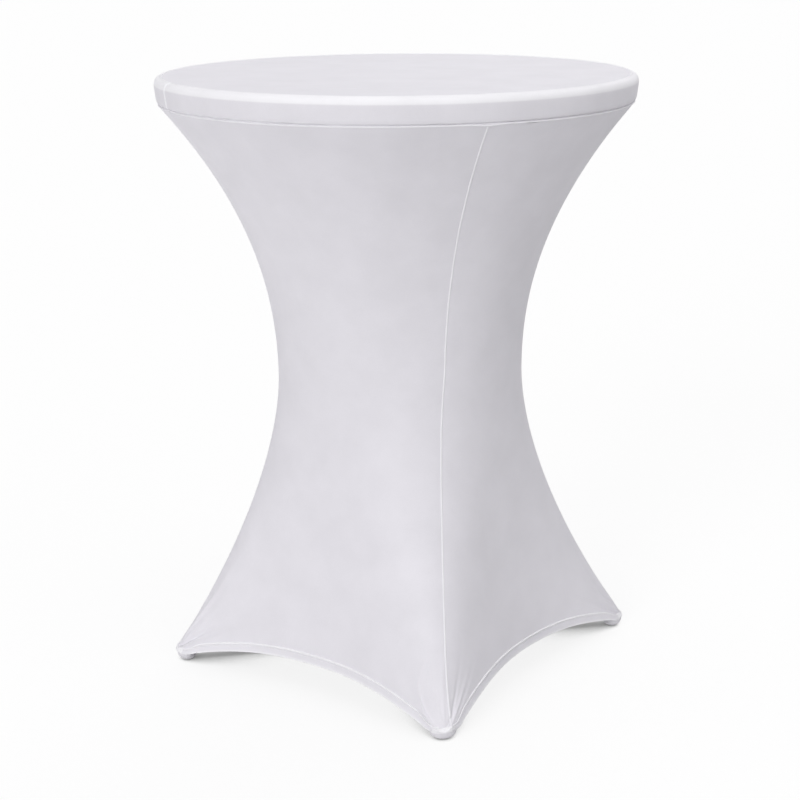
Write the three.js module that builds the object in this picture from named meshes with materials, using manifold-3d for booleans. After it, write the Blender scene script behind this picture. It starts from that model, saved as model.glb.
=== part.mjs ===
// A white stretch cover on a round standing table: the fabric cover sewn from panels, a band,
// hems and foot pockets, and the column table that holds it up from inside.
// Millimetres, +Z up, origin on the floor under the middle of the table top.
// Feet lie on the X and Y axes: foot 1 at -Y, then 2, 3 and 4 anticlockwise seen from above.

import * as THREE from 'three';
import Module from 'manifold-3d';
import { mergeVertices } from 'three/addons/utils/BufferGeometryUtils.js';

// ---- driving dimensions -------------------------------------------------------------------
const HEIGHT = 1100; // floor to the highest point of the top seam
const TOP_RADIUS = 428; // outside of the fabric band
const FABRIC = 2; // stands for one layer of stretched knit
const GAP = 0.4; // clearance between pieces that touch
const BEAD = 0.6; // how far a sewn seam stands proud
const BAND_HEIGHT = 44; // edge band with its rounded shoulder
const BAND_LIP = 3; // rounding at the foot of the band
const SHOULDER = 9; // rounding of the covered top edge
const TOP_SEAM_WIDTH = 3;
const TOP_SEAM_INSET = 4; // from where the shoulder starts to the top panel's edge
const BAND_JOIN_AZIMUTH = -165; // degrees
const BAND_JOIN_WIDTH = 3.6;
const BAND_ROWS = 7;
const UNDER_SEAM_RADIUS = 1.6; // bead between the band and the skirt
const UNDER_SEAM_DROP = 2.2; // its middle below the band's lower edge
const UNDER_SEAM_SIDES = 4;
const BOARD_THICKNESS = 38;
const EDGING = 8; // thickness of the board's edging

const WAIST_RADIUS = 228;
const WAIST_HEIGHT = 558;
const UPPER_POWER = 2.15; // how sharply the skirt opens above the waist
const LOWER_POWER = 1.66; // and below it
const WAIST_BLEND = 0.12; // softens the join of the two curves
const FLARE_RADIUS = 449; // corner radius the lower curve aims at, near the floor
const FLARE_HEIGHT = 10;
const CORNER_SHARPNESS = 25; // superellipse power of the skirt's plan at the floor
const ROUND_POWER = 2; // and far above it, where the plan is a circle
const SHARPNESS_FADE = 120; // height over which the corners fade
const SIDE_BOW = 38; // how far the sides are drawn in between two feet, at the floor
const BOW_FADE = 150; // height over which that fades
const BOW_POWER = 1.5;
const SKIRT_THICKNESS = 2.5;
const SKIRT_INSET = 4; // its upper edge inside the band's outer face
const SKIRT_ROWS = 12;
const SKIRT_ROW_CROWDING = 1.15; // rows lie closer together near the floor
const QUARTER_STEPS = 14; // facets of the skirt and hem between two feet
const SEAM_HALF_WIDTH = 1.9; // half the space between the two skirt panels
const END_CROWDING = 2.4; // how strongly the facets crowd towards the corners
const SEAM_TWIST = 10.8; // degrees that the seams lean between the foot and the waist
const TWIST_HEIGHT = 600;

const TOE_RADIUS = 20; // foot pocket, outside
const TOE_HEIGHT = 19; // height of the pocket's widest ring
const TOE_SQUARENESS = 2.6; // 2 would make the pocket's underside a half ball
const TOE_CENTRE = 422; // distance of the pocket's middle from the axis
const POCKET_STEPS = 20;
const STRAP_WIDTH = 7.5; // seam that runs round the toe above the pocket
const STRAP_REACH = 88; // degrees to either side of the toe's front
const STRAP_STEPS = 10;
const PANEL_ABOVE_TOE = 9; // skirt's lowest edge above the pocket's widest ring
const HEM_LOW = 4; // lower edge of the hem beside a foot
const HEM_HIGH = 54; // lower edge of the hem half way between two feet
const HEM_POWER = 4.6; // how steeply the hem rises beside a foot
const HEM_WIDTH = 18;
const HEM_THICKNESS = 3.2;
const HEM_GAP = 1.6; // between the hem and the panel above it
const HEM_END_WIDTH = 45; // from hem end to hem end across a toe
const HEM_END_REACH = 430; // distance of those ends from the axis

const ARM_WIDTH = 26;
const ARM_HEIGHT = 18;
const ARM_BOTTOM = 13;
const ARM_WALL = 2;
const ARM_START = 56;
const ARM_END = 404;
const ARM_BOLT_INSET = 14; // arm bolt's axis from the arm's inner end
const BOLT_HOLE_RADIUS = 4.4;
const BOLT_BELOW = 3; // bolt's end above the arm's underside
const BOLT_HEAD_RADIUS = 7;
const BOLT_HEAD_TOP_RADIUS = 6;
const BOLT_HEAD_EDGE = 4; // height of the head's edge and of its domed top above the arm
const BOLT_HEAD_DOME = 5;
const SPIGOT_OVERLAP = 8; // how far a hub spigot runs into the hub
const SPIGOT_REACH = 26; // and into the arm
const HUB_RADIUS = 50;
const HUB_BOTTOM = 12;
const HUB_CHAMFER = 3;
const HUB_SIDE_TOP = 40;
const HUB_TOP = 58;
const HUB_COLLAR = 5; // wall round the column's foot
const HUB_SOCKET = 10; // depth the column stands in the hub
const HUB_RECESS_RADIUS = 20; // hollow for the rod's nut
const HUB_RECESS_TOP = 28;
const COLUMN_RADIUS = 38;
const COLUMN_WALL = 2;
const ROD_RADIUS = 6;
const ROD_BELOW = 13; // rod and nut below the top of the hub's hollow
const WASHER_RADIUS = 16;
const WASHER_THICKNESS = 2.5;
const ROD_NUT_RADIUS = 11; // over the corners
const PLATE_RADIUS = 140;
const PLATE_THICKNESS = 5;
const COLLAR_WALL = 3; // short tube that takes the column's head
const COLLAR_LENGTH = 28;
const ROD_BOSS_LENGTH = 18; // threaded boss in the middle of the plate
const SCREW_CIRCLE = 115;
const SCREW_RADIUS = 2.4;
const SCREW_LENGTH = 22;
const SCREW_POINT = 4; // length of the pointed end
const SCREW_HEAD_RADIUS = 5;
const SCREW_HEAD_TOP_RADIUS = 4;
const SCREW_HEAD_EDGE = 2; // height of the head's edge and of its top below the plate
const SCREW_HEAD_HEIGHT = 3.4;
const PILOT_RADIUS = 2.8; // holes in the board
const PILOT_DEPTH = 24;
const PLATE_HOLE_RADIUS = 2.9;

const PLUG_BEVEL = 4;
const PLUG_SPIGOT_INSIDE = 22; // how far the plug's spigot runs into the arm
const PLUG_SPIGOT_OUTSIDE = 6; // and into the plug's nose
const PLUG_BORE_ROOF = 3; // plastic left above the glide's stem
const PLUG_NOSE_STEPS = 8;
const STEM_RADIUS = 4;
const STEM_CHAMFER = 1;
const STEM_BELOW_ARM_TOP = 4;
const PAD_RADIUS = 12.5; // glide's foot
const PAD_SOLE_RADIUS = 7;
const PAD_EDGE = 6.5; // pad's rim and its upper face below the arm
const PAD_TOP = 4.2;
const LOCK_NUT_RADIUS = 7.5; // over the corners
const LOCK_NUT_BOTTOM = 3.8; // below the arm

const FEET = 4;
const ROUND_SEGMENTS = 48; // steps round the table top's rings
const TUBE_SEGMENTS = 32; // column, hub and plate
const ROD_SEGMENTS = 16;
const WASHER_SEGMENTS = 20;
const HOLE_SEGMENTS = 12; // screws, bolts and their holes
const HEXAGON = 6;
const OVERCUT = 1; // how far a cutting tool stands out of the piece it cuts
const MERGE_DISTANCE = 1e-3;
const EDGE_TOLERANCE = 1e-6; // of a sheet's 0 to 1 coordinates

// ---- derived levels -----------------------------------------------------------------------
const panelTop = HEIGHT - BEAD;
const boardTop = panelTop - FABRIC - GAP;
const boardBottom = boardTop - BOARD_THICKNESS;
const bandBottom = HEIGHT - BAND_HEIGHT;
const underSeamHeight = bandBottom - UNDER_SEAM_DROP;
const skirtTop = underSeamHeight - UNDER_SEAM_RADIUS - GAP;
const skirtTopRadius = TOP_RADIUS - SKIRT_INSET;
const boardRadius = TOP_RADIUS - FABRIC - GAP - EDGING;
const edgingRadius = TOP_RADIUS - FABRIC - GAP;
const panelRadius = TOP_RADIUS - SHOULDER - TOP_SEAM_INSET;
const plateTop = boardBottom - GAP;
const plateBottom = plateTop - PLATE_THICKNESS;
const armTop = ARM_BOTTOM + ARM_HEIGHT;

const wasm = await Module();
wasm.setup();

// ---- materials ----------------------------------------------------------------------------
const look = (color, roughness, metalness = 0) => () =>
  new THREE.MeshStandardMaterial({ color, roughness, metalness });
const knit = look(0xe9e8ec, 0.75);
const stitchedKnit = look(0xf4f4f7, 0.7);
const boardWood = look(0xc9b08a, 0.7);
const edgingPlastic = look(0xd8d8d6, 0.5);
const greyPaint = look(0x8d9094, 0.45, 0.4);
const zincSteel = look(0xb4b8bb, 0.35, 0.9);
const blackPlastic = look(0x26272a, 0.6);

const table = new THREE.Group();

function addPiece(parent, name, geometry, material) {
  const mesh = new THREE.Mesh(geometry, material());
  mesh.name = name;
  parent.add(mesh);
}

// ---- shape helpers ------------------------------------------------------------------------
const degrees = (value) => THREE.MathUtils.degToRad(value);
const point = (x, y) => new THREE.Vector2(x, y);

// A ring or disc about +Z from a closed profile of (radius, height) points.
function turned(profile, segments = ROUND_SEGMENTS) {
  const geometry = new THREE.LatheGeometry(profile, segments);
  geometry.rotateX(Math.PI / 2);
  return solidOf(geometry);
}

function cylinder(radius, low, high, segments = ROUND_SEGMENTS) {
  const geometry = new THREE.CylinderGeometry(radius, radius, high - low, segments);
  geometry.rotateX(Math.PI / 2);
  geometry.translate(0, 0, (low + high) / 2);
  return geometry;
}

function box(low, high) {
  const geometry = new THREE.BoxGeometry(high[0] - low[0], high[1] - low[1], high[2] - low[2]);
  geometry.translate((low[0] + high[0]) / 2, (low[1] + high[1]) / 2, (low[2] + high[2]) / 2);
  return geometry;
}

// Points on an arc in the profile plane, angles in degrees from the +radius direction.
function arc(centre, radius, from, to, steps) {
  return Array.from({ length: steps + 1 }, (_, i) => {
    const angle = degrees(from + ((to - from) * i) / steps);
    return point(centre.x + radius * Math.cos(angle), centre.y + radius * Math.sin(angle));
  });
}

// Closed geometry with shared vertices, as the boolean library wants it.
function welded(geometry) {
  const bare = geometry.clone();
  bare.deleteAttribute('normal');
  bare.deleteAttribute('uv');
  return mergeVertices(bare, MERGE_DISTANCE);
}

function toManifold(geometry) {
  const bare = welded(geometry);
  const mesh = new wasm.Mesh({
    numProp: 3,
    vertProperties: Float32Array.from(bare.attributes.position.array),
    triVerts: Uint32Array.from(bare.index.array),
  });
  return new wasm.Manifold(mesh);
}

function fromManifold(solid) {
  const mesh = solid.getMesh();
  const geometry = new THREE.BufferGeometry();
  geometry.setAttribute('position', new THREE.BufferAttribute(mesh.vertProperties, 3));
  geometry.setIndex(new THREE.BufferAttribute(mesh.triVerts, 1));
  geometry.computeVertexNormals();
  return geometry;
}

// Turns the faces outward if the profile or mapping ran the other way round.
function solidOf(geometry) {
  const bare = welded(geometry);
  const position = bare.attributes.position;
  const index = bare.index;
  const corner = [0, 1, 2].map(() => new THREE.Vector3());
  let volume = 0;
  for (let face = 0; face < index.count; face += 3) {
    corner.forEach((vertex, k) => vertex.fromBufferAttribute(position, index.getX(face + k)));
    volume += corner[0].dot(corner[1].clone().cross(corner[2]));
  }
  if (volume < 0) {
    for (let face = 0; face < index.count; face += 3) {
      const second = index.getX(face + 1);
      index.setX(face + 1, index.getX(face + 2));
      index.setX(face + 2, second);
    }
  }
  bare.computeVertexNormals();
  return bare;
}

function cut(body, ...tools) {
  let solid = toManifold(body);
  for (const tool of tools) {
    solid = solid.subtract(toManifold(tool));
  }
  return fromManifold(solid);
}

function join(...bodies) {
  let solid = toManifold(bodies[0]);
  for (const body of bodies.slice(1)) {
    solid = solid.add(toManifold(body));
  }
  return fromManifold(solid);
}

// A thin sheet: a unit box whose points are placed by across, along and depth, each 0 to 1.
function sheet(place, columns, rows) {
  const geometry = new THREE.BoxGeometry(1, 1, 1, columns, rows, 1);
  const position = geometry.attributes.position;
  for (let i = 0; i < position.count; i += 1) {
    const across = position.getX(i) + 0.5;
    const along = position.getY(i) + 0.5;
    const depth = position.getZ(i) + 0.5;
    const [x, y, z] = place(across, along, depth);
    position.setXYZ(i, x, y, z);
  }
  return solidOf(geometry);
}

// A point from its distance to the axis, its azimuth in radians and its height.
const atAzimuth = (radius, azimuth, height) => [
  radius * Math.cos(azimuth),
  radius * Math.sin(azimuth),
  height,
];

// ---- the skirt's surface ------------------------------------------------------------------
// 0 at the waist and 1 at the end of the curve, flat at the waist.
function softPower(t, power) {
  const curve = (value) => (value * value + WAIST_BLEND * WAIST_BLEND) ** (power / 2);
  return (curve(t) - curve(0)) / (curve(1) - curve(0));
}

// Radius over a foot, where the skirt stands out furthest.
function cornerRadius(height) {
  if (height >= WAIST_HEIGHT) {
    const t = (height - WAIST_HEIGHT) / (skirtTop - WAIST_HEIGHT);
    return WAIST_RADIUS + (skirtTopRadius - WAIST_RADIUS) * softPower(t, UPPER_POWER);
  }
  const t = (WAIST_HEIGHT - height) / (WAIST_HEIGHT - FLARE_HEIGHT);
  const flare = WAIST_RADIUS + (FLARE_RADIUS - WAIST_RADIUS) * softPower(t, LOWER_POWER);
  const below = Math.max(0, TOE_HEIGHT - height);
  const toe = TOE_CENTRE + Math.sqrt(TOE_RADIUS ** 2 - below ** 2);
  return Math.min(flare, toe);
}

// The plan is a circle at the waist and a square with rounded corners over the feet at the hem,
// its sides drawn in by the pull of the cloth.
function skirtRadius(azimuth, height) {
  const fade = Math.exp(-height / SHARPNESS_FADE);
  const power = ROUND_POWER + (CORNER_SHARPNESS - ROUND_POWER) * fade;
  const turn = azimuth + Math.PI / 4;
  const sum = Math.abs(Math.cos(turn)) ** power + Math.abs(Math.sin(turn)) ** power;
  const plan = sum ** (-1 / power);
  const full = (cornerRadius(height) * plan) / 2 ** (1 / 2 - 1 / power);
  const drawnIn = SIDE_BOW * Math.exp(-height / BOW_FADE);
  return full - drawnIn * (1 - shareBetweenFeet(azimuth) ** 2) ** BOW_POWER;
}

// Lower edge of the hem; share runs from -1 at one foot to 1 at the next.
function hemHeight(share) {
  return HEM_LOW + (HEM_HIGH - HEM_LOW) * (1 - Math.abs(share) ** HEM_POWER);
}

function shareBetweenFeet(azimuth) {
  const quarter = azimuth / (Math.PI / 2);
  return 2 * (quarter - Math.floor(quarter)) - 1;
}

const footAzimuth = (index) => (Math.PI / 2) * (index - 1);
const toeTop = TOE_HEIGHT + PANEL_ABOVE_TOE;

// How far the seams have leaned round at a height, none at the toe.
function seamLean(height) {
  const share = (height - toeTop) / (TWIST_HEIGHT - toeTop);
  return degrees(SEAM_TWIST) * Math.min(1, Math.max(0, share));
}

// Crowds the steps towards the feet, where the skirt bends sharply.
const crowdEnds = (share) => Math.sign(share) * (1 - (1 - Math.abs(share)) ** END_CROWDING);

// Lower edge of a skirt panel, just above the hem and the toe.
function skirtFoot(azimuth) {
  return Math.max(hemHeight(shareBetweenFeet(azimuth)) + HEM_WIDTH + HEM_GAP, toeTop);
}

// The same edge where a line that leans with the seams meets it.
const leaningFoot = (azimuth) => skirtFoot(azimuth + seamLean(skirtFoot(azimuth)));

// ---- cover: top panel, its seam, the band and the band's join ------------------------------
function addCoverTop(parent) {
  const panel = cylinder(panelRadius, panelTop - FABRIC, panelTop);
  addPiece(parent, 'cover_top_panel', panel, knit);

  const seamInside = panelRadius + GAP;
  const seamOutside = seamInside + TOP_SEAM_WIDTH;
  const bead = [
    point(seamInside, panelTop - FABRIC),
    point(seamOutside, panelTop - FABRIC),
    point(seamOutside, panelTop),
    point((seamInside + seamOutside) / 2, HEIGHT),
    point(seamInside, panelTop),
    point(seamInside, panelTop - FABRIC),
  ];
  addPiece(parent, 'cover_top_seam', turned(bead), stitchedKnit);

  const outline = bandOutline(seamOutside + GAP);
  const joinAzimuth = degrees(BAND_JOIN_AZIMUTH);
  const joinHalf = BAND_JOIN_WIDTH / 2 / TOP_RADIUS;
  const band = (across, along, depth) => {
    const azimuth = joinAzimuth + joinHalf + (2 * Math.PI - 2 * joinHalf) * across;
    const spot = outline(along, depth * FABRIC);
    return atAzimuth(spot.x, azimuth, spot.y);
  };
  addPiece(parent, 'cover_edge_band', sheet(band, ROUND_SEGMENTS, BAND_ROWS), knit);

  const joinSeam = (across, along, depth) => {
    const azimuth = joinAzimuth + (joinHalf - GAP / TOP_RADIUS) * (2 * across - 1);
    const spot = outline(along, FABRIC * depth - BEAD * (1 - depth));
    return atAzimuth(spot.x, azimuth, spot.y);
  };
  addPiece(parent, 'cover_band_join', sheet(joinSeam, 1, BAND_ROWS), stitchedKnit);

  const underSeam = new THREE.TorusGeometry(
    skirtTopRadius - BEAD,
    UNDER_SEAM_RADIUS,
    UNDER_SEAM_SIDES,
    ROUND_SEGMENTS,
  );
  underSeam.translate(0, 0, underSeamHeight);
  addPiece(parent, 'cover_under_seam', solidOf(underSeam), stitchedKnit);
}

// The band in section: over the shoulder, down the edge and a little way under it.
// inset is the distance inwards from the outer face.
function bandOutline(innerEdge) {
  const shoulderCentre = point(TOP_RADIUS - SHOULDER, panelTop - SHOULDER);
  const lipCentre = point(TOP_RADIUS - BAND_LIP, bandBottom + BAND_LIP);
  const path = [
    { centre: shoulderCentre, radius: SHOULDER, angle: 90, shift: innerEdge - shoulderCentre.x },
    { centre: shoulderCentre, radius: SHOULDER, angle: 75, shift: 0 },
    { centre: shoulderCentre, radius: SHOULDER, angle: 50, shift: 0 },
    { centre: shoulderCentre, radius: SHOULDER, angle: 25, shift: 0 },
    { centre: shoulderCentre, radius: SHOULDER, angle: 0, shift: 0 },
    { centre: lipCentre, radius: BAND_LIP, angle: 0, shift: 0 },
    { centre: lipCentre, radius: BAND_LIP, angle: -45, shift: 0 },
    { centre: lipCentre, radius: BAND_LIP, angle: -80, shift: 0 },
  ];
  return (along, inset) => {
    const stop = path[Math.round(along * (path.length - 1))];
    const angle = degrees(stop.angle);
    const reach = stop.radius - inset;
    const across = stop.centre.x + stop.shift + reach * Math.cos(angle);
    return point(across, stop.centre.y + reach * Math.sin(angle));
  };
}

// ---- cover: skirt panels, seams and hems ---------------------------------------------------
function addSkirt(parent) {
  const seamFeet = [0, 2];
  const panelNames = ['skirt_panel_right', 'skirt_panel_left'];
  const seamNames = ['skirt_seam_front', 'skirt_seam_back'];

  panelNames.forEach((name, side) => {
    const start = footAzimuth(seamFeet[side]);
    const place = (across, along, depth) => {
      const quarter = Math.min(1, Math.floor(across * 2 + EDGE_TOLERANCE));
      const inQuarter = crowdEnds((across * 2 - quarter) * 2 - 1);
      const bare = start + (Math.PI / 2) * (quarter + (inQuarter + 1) / 2);
      const foot = leaningFoot(bare);
      const height = foot + (skirtTop - foot) * along ** SKIRT_ROW_CROWDING;
      const clearance = SEAM_HALF_WIDTH / skirtRadius(bare, height);
      const atStart = across < EDGE_TOLERANCE ? clearance : 0;
      const atEnd = across > 1 - EDGE_TOLERANCE ? clearance : 0;
      const azimuth = bare + seamLean(height) + atStart - atEnd;
      return atAzimuth(skirtRadius(azimuth, height) - SKIRT_THICKNESS * depth, azimuth, height);
    };
    addPiece(parent, name, sheet(place, 2 * QUARTER_STEPS, SKIRT_ROWS), knit);
  });

  seamNames.forEach((name, side) => {
    const start = footAzimuth(seamFeet[side]);
    const place = (across, along, depth) => {
      const foot = skirtFoot(start);
      const height = foot + (skirtTop - foot) * along ** SKIRT_ROW_CROWDING;
      const halfAngle = (SEAM_HALF_WIDTH - GAP) / skirtRadius(start, height);
      const azimuth = start + seamLean(height) + halfAngle * (2 * across - 1);
      const inset = SKIRT_THICKNESS * depth - BEAD * (1 - depth);
      return atAzimuth(skirtRadius(azimuth, height) - inset, azimuth, height);
    };
    addPiece(parent, name, sheet(place, 1, SKIRT_ROWS), stitchedKnit);
  });
}

function addHems(parent) {
  const endAngle = Math.asin(HEM_END_WIDTH / 2 / HEM_END_REACH);
  for (let index = 0; index < FEET; index += 1) {
    const start = footAzimuth(index) + endAngle;
    const span = Math.PI / 2 - 2 * endAngle;
    const place = (across, along, depth) => {
      const azimuth = start + (span * (crowdEnds(2 * across - 1) + 1)) / 2;
      const height = hemHeight(shareBetweenFeet(azimuth)) + HEM_WIDTH * along;
      const inset = HEM_THICKNESS * depth - BEAD * (1 - depth);
      return atAzimuth(skirtRadius(azimuth, height) - inset, azimuth, height);
    };
    addPiece(parent, `hem_band_${index + 1}`, sheet(place, QUARTER_STEPS, 1), stitchedKnit);
  }
}

// ---- cover: foot pockets -------------------------------------------------------------------
// A small bowl of fabric under the toe, open upwards and notched for the arm.
function addPocket(foot, index) {
  const bowlSide = (inset, steps) =>
    Array.from({ length: steps + 1 }, (_, i) => {
      const angle = degrees((90 * i) / steps);
      const reach = Math.sin(angle) ** (2 / TOE_SQUARENESS);
      const drop = i < 2 ? 1 : Math.cos(angle) ** (2 / TOE_SQUARENESS); // flat where it stands
      return point((TOE_RADIUS - inset) * reach, TOE_HEIGHT - (TOE_HEIGHT - inset) * drop);
    });
  const profile = [...bowlSide(0, 6), ...bowlSide(FABRIC, 5).reverse()];
  const bowl = turned(profile, POCKET_STEPS);
  bowl.translate(TOE_CENTRE, 0, 0);
  const halfNotch = ARM_WIDTH / 2 + GAP;
  const notchLow = [TOE_CENTRE - 2 * TOE_RADIUS, -halfNotch, ARM_BOTTOM - GAP];
  const notch = box(notchLow, [TOE_CENTRE, halfNotch, armTop + TOE_RADIUS]);
  addPiece(foot, `foot_pocket_${index + 1}`, cut(bowl, notch), knit);

  const low = TOE_HEIGHT + GAP;
  const strap = (across, along, depth) => {
    const azimuth = degrees(STRAP_REACH * (2 * across - 1));
    const height = low + STRAP_WIDTH * along;
    const side = Math.sqrt(TOE_RADIUS ** 2 - (height - TOE_HEIGHT) ** 2);
    const [x, y, z] = atAzimuth(side + BEAD * (1 - depth) - FABRIC * depth, azimuth, height);
    return [x + TOE_CENTRE, y, z];
  };
  addPiece(foot, `pocket_strap_${index + 1}`, sheet(strap, STRAP_STEPS, 1), stitchedKnit);
}

// ---- table: board, edging, plate and screws --------------------------------------------------
function addTop(parent) {
  const screwSpots = Array.from({ length: FEET }, (_, i) => {
    const [x, y] = atAzimuth(SCREW_CIRCLE, footAzimuth(i) + Math.PI / 4, 0);
    return point(x, y);
  });
  const drill = (radius, low, high) =>
    screwSpots.map((spot) =>
      cylinder(radius, low, high, HOLE_SEGMENTS).translate(spot.x, spot.y, 0),
    );

  const board = cylinder(boardRadius, boardBottom, boardTop);
  const pilots = drill(PILOT_RADIUS, boardBottom - OVERCUT, boardBottom + PILOT_DEPTH);
  addPiece(parent, 'tabletop_board', cut(board, ...pilots), boardWood);

  const inside = boardRadius + GAP;
  const round = SHOULDER - FABRIC - GAP;
  const foot = 2.5;
  const edging = [
    point(inside, boardBottom),
    ...arc(point(edgingRadius - foot, boardBottom + foot), foot, -90, 0, 2),
    ...arc(point(edgingRadius - round, boardTop - round), round, 0, 60, 2),
    point(inside, boardTop),
    point(inside, boardBottom),
  ];
  addPiece(parent, 'tabletop_edging', turned(edging), edgingPlastic);

  const collarInside = COLUMN_RADIUS + GAP;
  const collarOutside = collarInside + COLLAR_WALL;
  const collarFoot = plateBottom - COLLAR_LENGTH;
  const plate = [
    point(0, plateTop),
    point(PLATE_RADIUS, plateTop),
    point(PLATE_RADIUS, plateBottom),
    point(collarOutside, plateBottom),
    point(collarOutside, collarFoot),
    point(collarInside, collarFoot),
    point(collarInside, plateBottom),
    point(2 * ROD_RADIUS, plateBottom),
    point(2 * ROD_RADIUS, plateBottom - ROD_BOSS_LENGTH),
    point(ROD_RADIUS + GAP, plateBottom - ROD_BOSS_LENGTH),
    point(ROD_RADIUS + GAP, plateBottom),
    point(0, plateBottom),
  ];
  const holes = drill(PLATE_HOLE_RADIUS, plateBottom - OVERCUT, plateTop + OVERCUT);
  addPiece(parent, 'top_plate', cut(turned(plate, TUBE_SEGMENTS), ...holes), greyPaint);

  const screw = [
    point(0, plateBottom - SCREW_HEAD_HEIGHT),
    point(SCREW_HEAD_TOP_RADIUS, plateBottom - SCREW_HEAD_HEIGHT),
    point(SCREW_HEAD_RADIUS, plateBottom - SCREW_HEAD_EDGE),
    point(SCREW_HEAD_RADIUS, plateBottom - GAP),
    point(SCREW_RADIUS, plateBottom - GAP),
    point(SCREW_RADIUS, boardBottom + SCREW_LENGTH - SCREW_POINT),
    point(0, boardBottom + SCREW_LENGTH),
  ];
  screwSpots.forEach((spot, i) => {
    const geometry = turned(screw, HOLE_SEGMENTS).translate(spot.x, spot.y, 0);
    addPiece(parent, `top_plate_screw_${i + 1}`, geometry, zincSteel);
  });
}

// ---- table: column, tie rod and hub ----------------------------------------------------------
function addColumn(parent) {
  const seat = HUB_TOP - HUB_SOCKET;
  const tube = [
    point(COLUMN_RADIUS - COLUMN_WALL, seat + GAP),
    point(COLUMN_RADIUS, seat + GAP),
    point(COLUMN_RADIUS, plateBottom - GAP),
    point(COLUMN_RADIUS - COLUMN_WALL, plateBottom - GAP),
    point(COLUMN_RADIUS - COLUMN_WALL, seat + GAP),
  ];
  addPiece(parent, 'column_tube', turned(tube, TUBE_SEGMENTS), greyPaint);

  const rodHole = ROD_RADIUS + GAP;
  const hub = [
    point(rodHole, HUB_RECESS_TOP),
    point(HUB_RECESS_RADIUS, HUB_RECESS_TOP),
    point(HUB_RECESS_RADIUS, HUB_BOTTOM),
    point(HUB_RADIUS - HUB_CHAMFER, HUB_BOTTOM),
    point(HUB_RADIUS, HUB_BOTTOM + HUB_CHAMFER),
    point(HUB_RADIUS, HUB_SIDE_TOP),
    point(COLUMN_RADIUS + HUB_COLLAR, HUB_TOP),
    point(COLUMN_RADIUS + GAP, HUB_TOP),
    point(COLUMN_RADIUS + GAP, seat),
    point(rodHole, seat),
    point(rodHole, HUB_RECESS_TOP),
  ];
  const reach = ARM_START + SPIGOT_REACH;
  const halfWidth = ARM_WIDTH / 2 - ARM_WALL - GAP;
  const low = ARM_BOTTOM + ARM_WALL + GAP;
  const high = armTop - ARM_WALL - GAP;
  const spigots = Array.from({ length: FEET }, (_, i) => {
    const spigot = box([HUB_RADIUS - SPIGOT_OVERLAP, -halfWidth, low], [reach, halfWidth, high]);
    return spigot.rotateZ(footAzimuth(i));
  });
  const boltHoles = Array.from({ length: FEET }, (_, i) => {
    const hole = cylinder(BOLT_HOLE_RADIUS, 0, HUB_TOP, HOLE_SEGMENTS);
    return hole.translate(ARM_START + ARM_BOLT_INSET, 0, 0).rotateZ(footAzimuth(i));
  });
  const body = join(turned(hub, TUBE_SEGMENTS), ...spigots);
  addPiece(parent, 'base_hub', cut(body, ...boltHoles), greyPaint);

  const rodLow = HUB_RECESS_TOP - ROD_BELOW;
  const rod = cylinder(ROD_RADIUS, rodLow, plateBottom - GAP, ROD_SEGMENTS);
  addPiece(parent, 'tie_rod', solidOf(rod), zincSteel);
  const washerTop = HUB_RECESS_TOP - GAP;
  const washerLow = washerTop - WASHER_THICKNESS;
  const washer = cut(
    cylinder(WASHER_RADIUS, washerLow, washerTop, WASHER_SEGMENTS),
    cylinder(rodHole, 0, HUB_RECESS_TOP, ROD_SEGMENTS),
  );
  addPiece(parent, 'rod_washer', washer, zincSteel);
  const nut = cut(
    cylinder(ROD_NUT_RADIUS, rodLow, washerLow - GAP, HEXAGON),
    cylinder(rodHole, 0, HUB_RECESS_TOP, ROD_SEGMENTS),
  );
  addPiece(parent, 'rod_nut', nut, zincSteel);
}

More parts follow.
